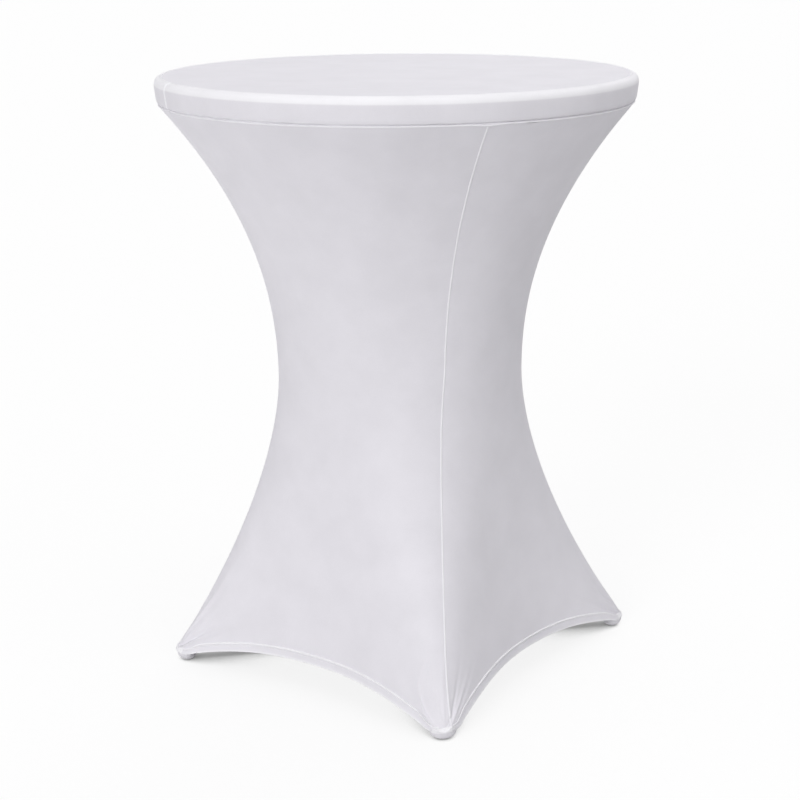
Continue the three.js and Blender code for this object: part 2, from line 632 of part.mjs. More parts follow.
// ---- table: one foot, drawn along +X and turned into place -------------------------------------
function addFoot(parent, index) {
  const foot = new THREE.Group();
  foot.rotation.z = footAzimuth(index);
  parent.add(foot);
  const number = index + 1;

  const halfWidth = ARM_WIDTH / 2;
  const middle = ARM_BOTTOM + ARM_HEIGHT / 2;
  const outer = box([ARM_START, -halfWidth, ARM_BOTTOM], [ARM_END, halfWidth, armTop]);
  const bore = box(
    [ARM_START - OVERCUT, -halfWidth + ARM_WALL, ARM_BOTTOM + ARM_WALL],
    [ARM_END + OVERCUT, halfWidth - ARM_WALL, armTop - ARM_WALL],
  );
  const boltAt = ARM_START + ARM_BOLT_INSET;
  const boltHole = cylinder(BOLT_HOLE_RADIUS, 0, HUB_TOP, HOLE_SEGMENTS).translate(boltAt, 0, 0);
  addPiece(foot, `base_arm_${number}`, cut(outer, bore, boltHole), greyPaint);

  const bolt = [
    point(0, ARM_BOTTOM + BOLT_BELOW),
    point(STEM_RADIUS, ARM_BOTTOM + BOLT_BELOW),
    point(STEM_RADIUS, armTop + GAP),
    point(BOLT_HEAD_RADIUS, armTop + GAP),
    point(BOLT_HEAD_TOP_RADIUS, armTop + BOLT_HEAD_EDGE),
    point(0, armTop + BOLT_HEAD_DOME),
  ];
  const boltPiece = turned(bolt, HOLE_SEGMENTS).translate(boltAt, 0, 0);
  addPiece(foot, `arm_bolt_${number}`, boltPiece, zincSteel);

  addPiece(foot, `arm_end_plug_${number}`, endPlug(middle), blackPlastic);

  const glideTop = armTop - STEM_BELOW_ARM_TOP;
  const glide = [
    point(0, FABRIC + 2 * GAP),
    point(PAD_SOLE_RADIUS, FABRIC + 2 * GAP),
    point(PAD_RADIUS, ARM_BOTTOM - PAD_EDGE),
    point(PAD_RADIUS, ARM_BOTTOM - PAD_TOP),
    point(STEM_RADIUS, ARM_BOTTOM - PAD_TOP),
    point(STEM_RADIUS, glideTop - STEM_CHAMFER),
    point(STEM_RADIUS - STEM_CHAMFER, glideTop),
    point(0, glideTop),
  ];
  const glidePiece = turned(glide, ROD_SEGMENTS).translate(TOE_CENTRE, 0, 0);
  addPiece(foot, `levelling_glide_${number}`, glidePiece, blackPlastic);

  const nut = cut(
    cylinder(LOCK_NUT_RADIUS, ARM_BOTTOM - LOCK_NUT_BOTTOM, ARM_BOTTOM - GAP, HEXAGON),
    cylinder(STEM_RADIUS + GAP, 0, ARM_BOTTOM, HOLE_SEGMENTS),
  );
  addPiece(foot, `glide_lock_nut_${number}`, nut.translate(TOE_CENTRE, 0, 0), zincSteel);

  addPocket(foot, index);
}

// Rounded nose outside the arm with a spigot inside it, bored for the glide's stem.
function endPlug(middle) {
  const halfWidth = ARM_WIDTH / 2;
  const nose = new THREE.Shape();
  nose.moveTo(ARM_END + GAP, -halfWidth);
  nose.lineTo(TOE_CENTRE, -halfWidth);
  nose.absarc(TOE_CENTRE, 0, halfWidth, -Math.PI / 2, Math.PI / 2, false);
  nose.lineTo(ARM_END + GAP, halfWidth);
  nose.closePath();
  const body = new THREE.ExtrudeGeometry(nose, {
    depth: ARM_HEIGHT - 2 * PLUG_BEVEL,
    bevelThickness: PLUG_BEVEL,
    bevelSize: PLUG_BEVEL,
    bevelOffset: -PLUG_BEVEL,
    bevelSegments: 1,
    curveSegments: PLUG_NOSE_STEPS,
  });
  body.translate(0, 0, ARM_BOTTOM + PLUG_BEVEL);
  const halfSpigot = halfWidth - ARM_WALL - GAP;
  const spigotHeight = ARM_HEIGHT / 2 - ARM_WALL - GAP;
  const spigot = box(
    [ARM_END - PLUG_SPIGOT_INSIDE, -halfSpigot, middle - spigotHeight],
    [ARM_END + PLUG_SPIGOT_OUTSIDE, halfSpigot, middle + spigotHeight],
  );
  const boreTop = armTop - PLUG_BORE_ROOF;
  const bore = cylinder(STEM_RADIUS + GAP, 0, boreTop, HOLE_SEGMENTS);
  bore.translate(TOE_CENTRE, 0, 0);
  return cut(join(body, spigot), bore);
}

addCoverTop(table);
addSkirt(table);
addHems(table);
addTop(table);
addColumn(table);
for (let index = 0; index < FEET; index += 1) {
  addFoot(table, index);
}

export default table;
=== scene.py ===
"""A white stretch cover on a round standing table: the visual model, its light and its camera.

Lengths in the shape code are millimetres, as in the CAD source; meshes are made in metres.
Azimuths are measured anticlockwise from +X, and foot 1 is at -Y, then 2, 3 and 4 anticlockwise.
"""

import math

import bpy
import numpy as np
from mathutils import Matrix, Vector


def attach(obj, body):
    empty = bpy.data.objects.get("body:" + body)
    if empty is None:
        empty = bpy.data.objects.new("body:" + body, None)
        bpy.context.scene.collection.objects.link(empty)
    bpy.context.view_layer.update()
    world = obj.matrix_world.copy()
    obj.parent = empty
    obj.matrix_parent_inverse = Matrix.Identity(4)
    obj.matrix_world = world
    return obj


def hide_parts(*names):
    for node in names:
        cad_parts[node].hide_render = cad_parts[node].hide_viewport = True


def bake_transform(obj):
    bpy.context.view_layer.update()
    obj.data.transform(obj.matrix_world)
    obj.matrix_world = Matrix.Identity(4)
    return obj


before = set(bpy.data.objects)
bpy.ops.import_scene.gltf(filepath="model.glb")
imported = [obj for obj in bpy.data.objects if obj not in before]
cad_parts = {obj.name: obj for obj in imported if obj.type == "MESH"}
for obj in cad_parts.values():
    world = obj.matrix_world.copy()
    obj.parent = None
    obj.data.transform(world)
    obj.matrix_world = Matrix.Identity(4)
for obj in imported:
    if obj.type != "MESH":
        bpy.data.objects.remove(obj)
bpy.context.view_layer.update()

# ---- the cover's shape, as in the CAD source ------------------------------------------------
TOP_RADIUS = 428.0
PANEL_TOP = 1099.4
PANEL_RADIUS = 415.0
BAND_BOTTOM = 1056.0
WAIST_RADIUS = 228.0
WAIST_HEIGHT = 558.0
UPPER_POWER = 2.15
LOWER_POWER = 1.66
WAIST_BLEND = 0.12
FLARE_RADIUS = 449.0
FLARE_HEIGHT = 10.0
CORNER_SHARPNESS = 25.0
ROUND_POWER = 2.0
SHARPNESS_FADE = 120.0
SIDE_BOW = 38.0
BOW_FADE = 150.0
BOW_POWER = 1.5
SKIRT_TOP = 1051.8
SKIRT_TOP_RADIUS = 424.0
SEAM_TWIST = 10.8
TWIST_HEIGHT = 600.0
TOE_RADIUS = 20.0
TOE_HEIGHT = 19.0
TOE_CENTRE = 422.0
TOE_SQUARENESS = 2.6
TOE_TOP = 28.0
HEM_LOW = 4.0
HEM_HIGH = 54.0
HEM_POWER = 4.0
HEM_WIDTH = 18.0
BAND_JOIN_AZIMUTH = math.radians(-165)

# ---- detail that only the visual model has ---------------------------------------------------
CLOTH = 0.9  # thickness of one layer
RIM_RADIUS = 429.6  # the band where the shoulder ends
LIP_RADIUS = 426.0  # and at its lower edge
SHOULDER_WIDTH = 11.0
SHOULDER_DROP = 13.0
TOE_WIDENING = 1.24  # the pocket across the foot, over its length
TOE_SEAM_LEAN = 1.62  # degrees that the vertical seam stands beside the foot's middle
HEM_NARROW_FROM = 46.0  # distance beside the foot where the hem starts to narrow
HEM_NARROW_TO = 15.0
STRAP_LOW = 16.5
STRAP_HIGH = 27.0
PIPING_RADIUS = 416.7  # the middle of the top seam's piping
PIPING_HALF_WIDTH = 1.9
BAND_INNER_RADIUS = 417.9  # where the band starts beside the piping
LIP_ROLL = 3.2  # radius of the band's rolled lower edge
UNDER_SEAM_RADIUS = 423.1
UNDER_SEAM_HEIGHT = 1052.9
UNDER_SEAM_ROLL = 1.35
HEM_END_WIDTH = 10.5  # half the gap between two hems on the toe
STITCH_PITCH = 3.4
STITCH_LENGTH = 2.5
STITCH_RADIUS = 0.27
LEAN_HEIGHT = 400.0  # over this height all columns of the skirt take up the seams' lean
QUARTER = math.pi / 2


def soft_power(t, power):
    def curve(v):
        return (v * v + WAIST_BLEND**2) ** (power / 2)

    return (curve(t) - curve(0.0)) / (curve(1.0) - curve(0.0))


def corner_radius(height):
    """Radius of the skirt over a foot."""
    up = np.clip((height - WAIST_HEIGHT) / (SKIRT_TOP - WAIST_HEIGHT), 0, None)
    down = np.clip((WAIST_HEIGHT - height) / (WAIST_HEIGHT - FLARE_HEIGHT), 0, None)
    upper = WAIST_RADIUS + (SKIRT_TOP_RADIUS - WAIST_RADIUS) * soft_power(up, UPPER_POWER)
    flare = WAIST_RADIUS + (FLARE_RADIUS - WAIST_RADIUS) * soft_power(down, LOWER_POWER)
    below = np.clip(TOE_HEIGHT - height, 0, None)
    toe = TOE_CENTRE + np.sqrt(np.clip(TOE_RADIUS**2 - below**2, 0, None))
    return np.where(height >= WAIST_HEIGHT, upper, np.minimum(flare, toe))


def skirt_radius(azimuth, height):
    """The plan is a circle at the waist and a square with drawn-in sides at the hem."""
    power = ROUND_POWER + (CORNER_SHARPNESS - ROUND_POWER) * np.exp(-height / SHARPNESS_FADE)
    turn = azimuth + math.pi / 4
    plan = (np.abs(np.cos(turn)) ** power + np.abs(np.sin(turn)) ** power) ** (-1 / power)
    full = corner_radius(height) * plan / 2 ** (0.5 - 1 / power)
    drawn_in = SIDE_BOW * np.exp(-height / BOW_FADE)
    return full - drawn_in * (1 - share_between(azimuth) ** 2) ** BOW_POWER


def share_between(azimuth):
    quarter = azimuth / QUARTER
    return 2 * (quarter - np.floor(quarter)) - 1


def hem_height(azimuth):
    return HEM_LOW + (HEM_HIGH - HEM_LOW) * (1 - np.abs(share_between(azimuth)) ** HEM_POWER)


def smooth(t):
    t = np.clip(t, 0, 1)
    return t * t * (3 - 2 * t)


def foot_azimuth(index):
    return QUARTER * (index - 1)


def beside_foot(azimuth, radius):
    """The nearest foot's number from 0, and the distance to its middle line, + anticlockwise."""
    turns = azimuth / QUARTER
    nearest = np.round(turns)
    return (nearest.astype(int) + 1) % 4, radius * np.sin((turns - nearest) * QUARTER)


def narrowing(azimuth):
    """0 along the hem and 1 over the toe."""
    _, aside = beside_foot(azimuth, TOE_CENTRE + TOE_RADIUS)
    return smooth((HEM_NARROW_FROM - np.abs(aside)) / (HEM_NARROW_FROM - HEM_NARROW_TO))


def hem_edges(azimuth):
    low, over_toe = hem_height(azimuth), narrowing(azimuth)
    lower = low + (STRAP_LOW - low) * over_toe
    upper = low + HEM_WIDTH + (STRAP_HIGH - low - HEM_WIDTH) * over_toe
    return lower, upper


def seam_lean(height):
    """How far the vertical seams have leaned round at a height, in radians."""
    share = np.clip((height - TOE_TOP) / (TWIST_HEIGHT - TOE_TOP), 0, 1)
    return np.radians((TOE_SEAM_LEAN**3 + (SEAM_TWIST * share) ** 3) ** (1 / 3))


# Tension folds that run out from each foot: angle from straight up in degrees, + anticlockwise,
# how it bends with distance, height in mm, half width at the toe and its growth on either side,
# and the distance at which it is highest.
FOLDS = {
    0: [
        (-80, 0.56, 3.6, (3.4, 0.15), (1.2, 0.035), 36),
        (-60, 0.05, 1.2, (3.0, 0.12), (2.4, 0.10), 40),
        (50, -0.06, 2.2, (1.8, 0.05), (1.8, 0.05), 30),
        (64, -0.10, 1.6, (1.8, 0.05), (2.4, 0.08), 34),
        (34, -0.06, -1.4, (1.6, 0.04), (1.6, 0.04), 32),
        (-14, 0.03, 0.8, (1.3, 0.03), (1.3, 0.03), 44),
        (2, 0.02, 0.7, (1.2, 0.03), (1.2, 0.03), 50),
    ],
    1: [
        (-55, 0.02, -3.0, (2.2, 0.07), (1.8, 0.05), 36),
        (-42, 0.05, 2.6, (2.2, 0.07), (2.4, 0.10), 42),
        (-26, 0.05, -1.4, (2.6, 0.09), (2.6, 0.09), 46),
        (-10, 0.02, 1.4, (2.4, 0.08), (2.4, 0.08), 50),
        (28, -0.04, 1.4, (2.6, 0.10), (2.6, 0.10), 44),
        (56, -0.04, 2.0, (2.2, 0.07), (2.4, 0.08), 38),
    ],
    2: [
        (-64, 0.36, 2.8, (3.2, 0.13), (1.4, 0.045), 36),
        (-46, 0.05, 1.2, (2.8, 0.12), (2.4, 0.10), 38),
        (46, -0.06, 2.0, (1.8, 0.06), (1.8, 0.05), 32),
        (60, -0.08, 1.4, (1.8, 0.06), (2.4, 0.08), 36),
        (32, -0.05, -1.2, (1.6, 0.04), (1.6, 0.04), 34),
    ],
    3: [
        (53, -0.02, 3.4, (1.8, 0.05), (1.8, 0.05), 40),
        (42, -0.02, -2.2, (2.0, 0.06), (2.0, 0.06), 42),
        (26, -0.02, 1.6, (2.4, 0.08), (2.2, 0.07), 50),
        (9, 0.01, 2.2, (1.6, 0.04), (2.0, 0.06), 60),
        (-26, 0.03, 1.4, (2.6, 0.10), (2.6, 0.10), 44),
        (-54, 0.05, 2.0, (2.4, 0.08), (2.2, 0.07), 38),
    ],
}
FOLD_HEIGHT = 1.7  # times the heights in the table
FOLD_ROOT = 20.0  # height on the toe that the folds run out from
SIDE_SLANT = 0.41  # the skirt's sides run away at 45 degrees beside the toe


def folds(azimuth, height):
    """Outward displacement of the skirt by its tension folds."""
    azimuth, height = np.broadcast_arrays(azimuth, height)
    foot, aside = beside_foot(azimuth, skirt_radius(azimuth, height))
    aside = aside + np.sign(aside) * SIDE_SLANT * np.clip(np.abs(aside) - 14, 0, None)
    rise = (height - FOLD_ROOT) * 1.15
    reach = np.hypot(aside, rise)
    angle = np.degrees(np.arctan2(aside, rise))
    total = np.zeros(azimuth.shape)
    for number, rows in FOLDS.items():
        mine = foot == number
        for direction, bend, tall, clockwise, anticlockwise, peak in rows:
            across = np.radians(angle - direction - bend * reach) * reach
            width = np.where(
                across < 0,
                clockwise[0] + clockwise[1] * reach,
                anticlockwise[0] + anticlockwise[1] * reach,
            )
            along = (reach / peak) ** 1.2 * np.exp(1.2 * (1 - reach / peak))
            total += np.where(mine, FOLD_HEIGHT * tall * along * np.exp(-((across / width) ** 2)), 0)
    # A ridge under each vertical seam, strongest at the toe.
    seamed = (foot == 0) | (foot == 2)
    from_seam = skirt_radius(azimuth, height) * np.sin(
        azimuth - np.round(azimuth / QUARTER) * QUARTER - seam_lean(height)
    )
    crest = 1.5 * np.exp(-(np.clip(height - TOE_TOP, 0, None) / 95) ** 1.3)
    width = np.where(from_seam < 0, 5.5, 2.2) + np.clip(height - TOE_TOP, 0, None) * 0.03
    total += np.where(seamed, crest * np.exp(-((from_seam / width) ** 2)), 0)
    # Wide, very shallow pulls between foot and waist keep the cloth from looking machined.
    slow = np.sin(3 * azimuth + 0.008 * height) + 0.7 * np.sin(5 * azimuth - 0.011 * height + 1)
    body = smooth((height - 90) / 200) * smooth((SKIRT_TOP - height) / 160)
    return total + 0.35 * slow * body


def surface(azimuth, height, out=0.0):
    """Points on the skirt, raised outward by out."""
    azimuth, height = np.broadcast_arrays(azimuth, height)
    radius = skirt_radius(azimuth, height) + folds(azimuth, height) + out
    return np.stack([radius * np.cos(azimuth), radius * np.sin(azimuth), height], -1)


def ring_point(radius, azimuth, height):
    radius, azimuth, height = np.broadcast_arrays(radius, azimuth, height)
    return np.stack([radius * np.cos(azimuth), radius * np.sin(azimuth), height], -1)


# ---- mesh helpers --------------------------------------------------------------------------
def mesh_object(name, points, faces, uv=None, layers_and_highlight=None, smooth_angle=math.radians(50)):
    """A closed mesh from points in mm; faces is a list of arrays of one face size each."""
    points = np.asarray(points, float) * 0.001
    volume = 0.0
    for group in faces:
        for k in range(1, group.shape[1] - 1):
            a, b, c = (points[group[:, i]] for i in (0, k, k + 1))
            volume += np.einsum("ij,ij->", a, np.cross(b, c))
    if volume < 0:
        faces = [group[:, ::-1] for group in faces]
    mesh = bpy.data.meshes.new(name)
    corners = np.concatenate([group.ravel() for group in faces]).astype(np.int32)
    sizes = np.concatenate([np.full(len(group), group.shape[1]) for group in faces])
    mesh.vertices.add(len(points))
    mesh.vertices.foreach_set("co", points.astype(np.float32).ravel())
    mesh.loops.add(len(corners))
    mesh.loops.foreach_set("vertex_index", corners)
    mesh.polygons.add(len(sizes))
    starts = np.concatenate([[0], np.cumsum(sizes)[:-1]]).astype(np.int32)
    mesh.polygons.foreach_set("loop_start", starts)
    mesh.update(calc_edges=True)
    if uv is not None:
        layer = mesh.uv_layers.new(name="cloth")
        layer.data.foreach_set("uv", (uv[corners] * 0.001).astype(np.float32).ravel())
    if layers_and_highlight is not None:
        attribute = mesh.attributes.new("layers_and_highlight", "FLOAT", "POINT")
        attribute.data.foreach_set("value", np.asarray(layers_and_highlight, np.float32).ravel())
    mesh.shade_smooth()
    mesh.set_sharp_from_angle(angle=smooth_angle)
    mesh.validate()
    piece = bpy.data.objects.new(name, mesh)
    bpy.context.scene.collection.objects.link(piece)
    return piece


def grid_faces(columns, rows, wrap=False, offset=0):
    c = np.arange(columns if wrap else columns - 1)[:, None]
    r = np.arange(rows - 1)[None, :]
    after = (c + 1) % columns
    corners = [c * rows + r, after * rows + r, after * rows + r + 1, c * rows + r + 1]
    return np.stack(np.broadcast_arrays(*corners), -1).reshape(-1, 4) + offset


def shell(name, outer, inner, uv, layers_and_highlight=None, wrap=False):
    """A thin closed sheet between two grids of points, columns by rows."""
    columns, rows, _ = outer.shape
    count = columns * rows
    index = np.arange(count).reshape(columns, rows)
    if wrap:
        borders = [np.append(index[:, 0], index[0, 0]), np.append(index[::-1, -1], index[-1, -1])]
    else:
        borders = [index[:, 0], index[-1, :], index[::-1, -1], index[0, ::-1]]
    faces = [grid_faces(columns, rows, wrap), grid_faces(columns, rows, wrap, count)[:, ::-1]]
    for run in borders:
        faces.append(np.stack([run[1:], run[:-1], run[:-1] + count, run[1:] + count], -1))
    points = np.concatenate([outer.reshape(-1, 3), inner.reshape(-1, 3)])
    uv = np.concatenate([uv.reshape(-1, 2)] * 2)
    if layers_and_highlight is not None:
        layers_and_highlight = np.concatenate([np.broadcast_to(layers_and_highlight, (columns, rows)).ravel()] * 2)
    return mesh_object(name, points, faces, uv, layers_and_highlight)


def tube(name, rings, uv, wrap=False, layers_and_highlight=1.0, smooth_angle=math.radians(60)):
    """A closed solid along rings of points: rings by profile points, the profile closed."""
    count, around, _ = rings.shape
    index = np.arange(count * around).reshape(count, around)
    closed = np.concatenate([index, index[:, :1]], 1)
    if wrap:
        closed = np.concatenate([closed, closed[:1]], 0)
    quads = [closed[:-1, :-1], closed[1:, :-1], closed[1:, 1:], closed[:-1, 1:]]
    faces = [np.stack(quads, -1).reshape(-1, 4)]
    if not wrap:
        faces += [index[:1, :], index[-1:, ::-1]]
    layers_and_highlight = np.broadcast_to(layers_and_highlight, (count, around)).ravel()
    return mesh_object(name, rings.reshape(-1, 3), faces, uv.reshape(-1, 2), layers_and_highlight, smooth_angle)


def spread(low, high, step_at, samples=4000):
    """Positions from low to high whose spacing at each place is about step_at(place)."""
    places = np.linspace(low, high, samples)
    count = np.concatenate([[0], np.cumsum(np.diff(places) / step_at((places[1:] + places[:-1]) / 2))])
    return np.interp(np.linspace(0, count[-1], int(round(count[-1])) + 1), count, places)


def column_step(azimuth):
    """Column spacing of the skirt in radians: fine beside the feet, wide half way between."""
    _, aside = beside_foot(azimuth, TOE_CENTRE)
    return (1.35 + 6.6 * smooth((np.abs(aside) - 12) / 200)) / TOE_CENTRE


def random_wave(seed, length_mm, lengths, tall):
    """A gentle irregular wave along a closed run, the same each time."""
    rng = np.random.default_rng(seed)
    parts = [(2 * math.pi * round(length_mm / w), rng.uniform(0, 2 * math.pi)) for w in lengths]
    return lambda share: tall * sum(np.sin(k * share + p) for k, p in parts) / len(parts)


def keep(piece, material, nodes=()):
    """Give a piece of the cover its material, hang it on the table's body and hide the CAD nodes that
    it stands for.
    """
    piece.data.materials.append(material)
    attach(piece, "table")
    if nodes:
        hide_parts(*nodes)
    return piece


# ---- materials -----------------------------------------------------------------------------
class Nodes:
    """A material's node tree, built one node at a time."""

    def __init__(self, name):
        self.material = bpy.data.materials.new(name)
        self.material.use_nodes = True
        self.tree = self.material.node_tree
        self.shader = self.tree.nodes["Principled BSDF"]

    def add(self, kind, inputs=None, **settings):
        node = self.tree.nodes.new(kind)
        for key, value in settings.items():
            setattr(node, key, value)
        for key, value in (inputs or {}).items():
            self.set(node, key, value)
        return node

    def set(self, node, key, value):
        if isinstance(value, bpy.types.NodeSocket):
            self.tree.links.new(value, node.inputs[key])
        else:
            node.inputs[key].default_value = value

    def finish(self, **sockets):
        for key, value in sockets.items():
            self.set(self.shader, key.replace("_", " "), value)
        return self.material

    def noise(self, vector, scale, detail=3.0, roughness=0.55):
        node = self.add(
            "ShaderNodeTexNoise",
            {"Vector": vector, "Scale": scale, "Detail": detail, "Roughness": roughness},
        )
        return node.outputs["Fac"]

    def remap(self, value, low, high, from_low=0.0, from_high=1.0):
        inputs = {"Value": value, 1: from_low, 2: from_high, 3: low, 4: high}
        return self.add("ShaderNodeMapRange", inputs).outputs["Result"]

    def math(self, operation, a, b):
        return self.add("ShaderNodeMath", {0: a, 1: b}, operation=operation).outputs[0]

    def mix(self, factor, a, b, blend="MIX"):
        node = self.add("ShaderNodeMix", data_type="RGBA", blend_type=blend)
        self.set(node, 0, factor)
        self.set(node, 6, a)
        self.set(node, 7, b)
        return node.outputs[2]

    def wave(self, vector, period, direction, distortion=0.0):
        """Bands of a period in metres, seen as 0 to 1."""
        node = self.add(
            "ShaderNodeTexWave",
            {
                "Vector": vector,
                "Scale": math.pi / 10 / period,
                "Distortion": distortion,
                "Detail": 1.0,
                "Detail Scale": 0.6,
            },
            bands_direction=direction,
        )
        return node.outputs["Fac"]

    def bump(self, height, distance, strength=1.0, normal=None):
        inputs = {"Height": height, "Distance": distance, "Strength": strength}
        if normal is not None:
            inputs["Normal"] = normal
        return self.add("ShaderNodeBump", inputs).outputs["Normal"]


def knit(name, single, doubled_and_highlight_colour, sheen=0.3, wale=0.0011, course=0.0009, ribs=0.00005):
    """Smooth stretch knit: fine ribs both ways, faint mottling, paler where the cloth is doubled and
    where a highlight is painted, both set by a mesh attribute.
    """
    n = Nodes(name)
    cloth = n.add("ShaderNodeUVMap", uv_map="cloth").outputs["UV"]
    place = n.add("ShaderNodeTexCoord").outputs["Object"]
    layers_and_highlight = n.add("ShaderNodeAttribute", attribute_name="layers_and_highlight").outputs["Fac"]
    # The paler colour stands for doubled cloth and, over the band's shoulder, a painted highlight.
    base = n.mix(layers_and_highlight, single, doubled_and_highlight_colour)
    cloudy = n.remap(n.noise(place, 14.0, 4.0), 0.972, 1.02, 0.3, 0.7)
    yarn = n.remap(n.noise(place, 620.0, 2.0, 0.7), 0.985, 1.012, 0.3, 0.7)
    shade = n.math("MULTIPLY", cloudy, yarn)
    grey = n.add("ShaderNodeCombineColor", {0: shade, 1: shade, 2: shade}).outputs[0]
    colour = n.mix(1.0, base, grey, "MULTIPLY")
    wales = n.wave(cloth, wale, "X", 0.8)
    courses = n.wave(cloth, course, "Y", 0.8)
    loops = n.math("MULTIPLY", wales, n.remap(courses, 0.55, 1.0))
    pattern = n.bump(loops, ribs, 0.55)
    slack = n.bump(n.noise(place, 30.0, 3.0), 0.0006, 0.18, pattern)
    rough = n.remap(n.noise(place, 90.0, 3.0), 0.56, 0.7)
    return n.finish(
        Base_Color=colour,
        Roughness=rough,
        Normal=slack,
        Sheen_Weight=sheen,
        Sheen_Roughness=0.45,
        Sheen_Tint=(0.97, 0.96, 1.0, 1.0),
        Specular_IOR_Level=0.35,
    )


def thread(name, colour):
    """Twisted sewing thread."""
    n = Nodes(name)
    place = n.add("ShaderNodeTexCoord").outputs["Object"]
    tone = n.remap(n.noise(place, 300.0, 2.0), 0.93, 1.03, 0.3, 0.7)
    grey = n.add("ShaderNodeCombineColor", {0: tone, 1: tone, 2: tone}).outputs[0]
    base = n.mix(1.0, colour, grey, "MULTIPLY")
    twist = n.bump(n.noise(place, 2600.0, 1.0), 0.00008, 0.5)
    return n.finish(Base_Color=base, Roughness=0.5, Normal=twist, Sheen_Weight=0.2)


def speckled(name, colour, tone, roughness, scale, bump, metallic=0.0, coat=0.0):
    """Paint, plastic or metal: a base colour with fine variation, uneven gloss and texture."""
    n = Nodes(name)
    place = n.add("ShaderNodeTexCoord").outputs["Object"]
    patches = n.remap(n.noise(place, scale, 5.0), 1 - tone, 1 + tone, 0.3, 0.7)
    grey = n.add("ShaderNodeCombineColor", {0: patches, 1: patches, 2: patches}).outputs[0]
    base = n.mix(1.0, colour, grey, "MULTIPLY")
    rough = n.remap(n.noise(place, scale * 3, 4.0), roughness[0], roughness[1], 0.3, 0.7)
    grain = n.bump(n.noise(place, scale * 12, 3.0), bump, 0.4)
    return n.finish(
        Base_Color=base, Roughness=rough, Normal=grain, Metallic=metallic, Coat_Weight=coat
    )


def chipboard(name):
    """Pressed wood chips, seen from below and at the edge."""
    n = Nodes(name)
    place = n.add("ShaderNodeTexCoord").outputs["Object"]
    chips = n.add("ShaderNodeTexVoronoi", {"Vector": place, "Scale": 240.0}, feature="F1")
    tint = n.add("ShaderNodeSeparateColor", {0: chips.outputs["Color"]}).outputs[0]
    base = n.mix(tint, (0.42, 0.29, 0.16, 1), (0.66, 0.50, 0.32, 1))
    fine = n.remap(n.noise(place, 700.0, 4.0), 0.85, 1.1, 0.3, 0.7)
    grey = n.add("ShaderNodeCombineColor", {0: fine, 1: fine, 2: fine}).outputs[0]
    colour = n.mix(1.0, base, grey, "MULTIPLY")
    rough = n.remap(fine, 0.8, 0.6)
    pits = n.bump(chips.outputs["Distance"], 0.0004, 0.5)
    return n.finish(Base_Color=colour, Roughness=rough, Normal=pits)


# The paler colour is doubled cloth, and on the band's shoulder a painted highlight.
SINGLE = (0.815, 0.797, 0.843, 1)
DOUBLED_AND_HIGHLIGHT = (0.94, 0.93, 0.96, 1)
white_knit = knit("white_knit", SINGLE, DOUBLED_AND_HIGHLIGHT)
stitched_knit = knit("stitched_knit", SINGLE, DOUBLED_AND_HIGHLIGHT, sheen=0.4, ribs=0.00007)
white_thread = thread("white_thread", (0.93, 0.92, 0.95, 1))
table_finish = {
    "board_wood": chipboard("board_wood"),
    "edging_plastic": speckled(
        "edging_plastic", (0.62, 0.62, 0.60, 1), 0.03, (0.4, 0.55), 60, 0.00004
    ),
    "grey_paint": speckled(
        "grey_paint", (0.27, 0.28, 0.29, 1), 0.05, (0.36, 0.5), 110, 0.00006, 0.3, 0.15
    ),
    "zinc_steel": speckled(
        "zinc_steel", (0.58, 0.60, 0.62, 1), 0.08, (0.25, 0.45), 160, 0.00003, 1.0
    ),
    "black_plastic": speckled(
        "black_plastic", (0.022, 0.022, 0.025, 1), 0.12, (0.5, 0.68), 200, 0.00005
    ),
}


# ---- cover: top panel, its seam, the edge band and its join ------------------------------------
def add_top():
    spokes, rings = 256, 56
    azimuth = np.linspace(0, 2 * math.pi, spokes, endpoint=False)[:, None]
    radius = PANEL_RADIUS * np.linspace(1, 1e-5, rings)[None, :] ** 0.8
    # The cloth lies flat on the board and lifts by a hair in slow waves.
    lift = 0.12 * np.sin(radius / 61 + 2 * np.cos(azimuth)) * np.sin(radius / PANEL_RADIUS * 3.1)
    upper = ring_point(radius, azimuth, PANEL_TOP + lift)
    lower = ring_point(radius, azimuth, PANEL_TOP - CLOTH + lift)
    uv = upper[..., :2]
    panel = shell("top_panel_cloth", upper, lower, uv, np.zeros((spokes, rings)), wrap=True)
    keep(panel, white_knit, nodes=["cover_top_panel"])

    steps = 640
    azimuth = np.linspace(0, 2 * math.pi, steps, endpoint=False)[:, None]
    # Half-round piping with its two feet on the panel and on the band.
    angle = np.linspace(0, math.pi, 9)[None, :]
    arc_r = PIPING_RADIUS + PIPING_HALF_WIDTH * np.cos(angle)
    profile_r = np.concatenate([arc_r, [[414.9, 418.5]]], 1)
    profile_z = np.concatenate([PANEL_TOP - 0.1 + 1.0 * np.sin(angle), [[PANEL_TOP - 1.3] * 2]], 1)
    pucker = random_wave(3, 2620, (9, 14, 23), 0.09)(azimuth / (2 * math.pi))
    bead_rings = ring_point(profile_r, azimuth, profile_z + pucker * (profile_z > PANEL_TOP))
    along = np.broadcast_to(azimuth * 416, (steps, profile_r.shape[1]))
    uv = np.stack([along, np.broadcast_to(profile_r, along.shape)], -1)
    bead = tube("top_seam_piping", bead_rings, uv, wrap=True)
    keep(bead, stitched_knit, nodes=["cover_top_seam"])


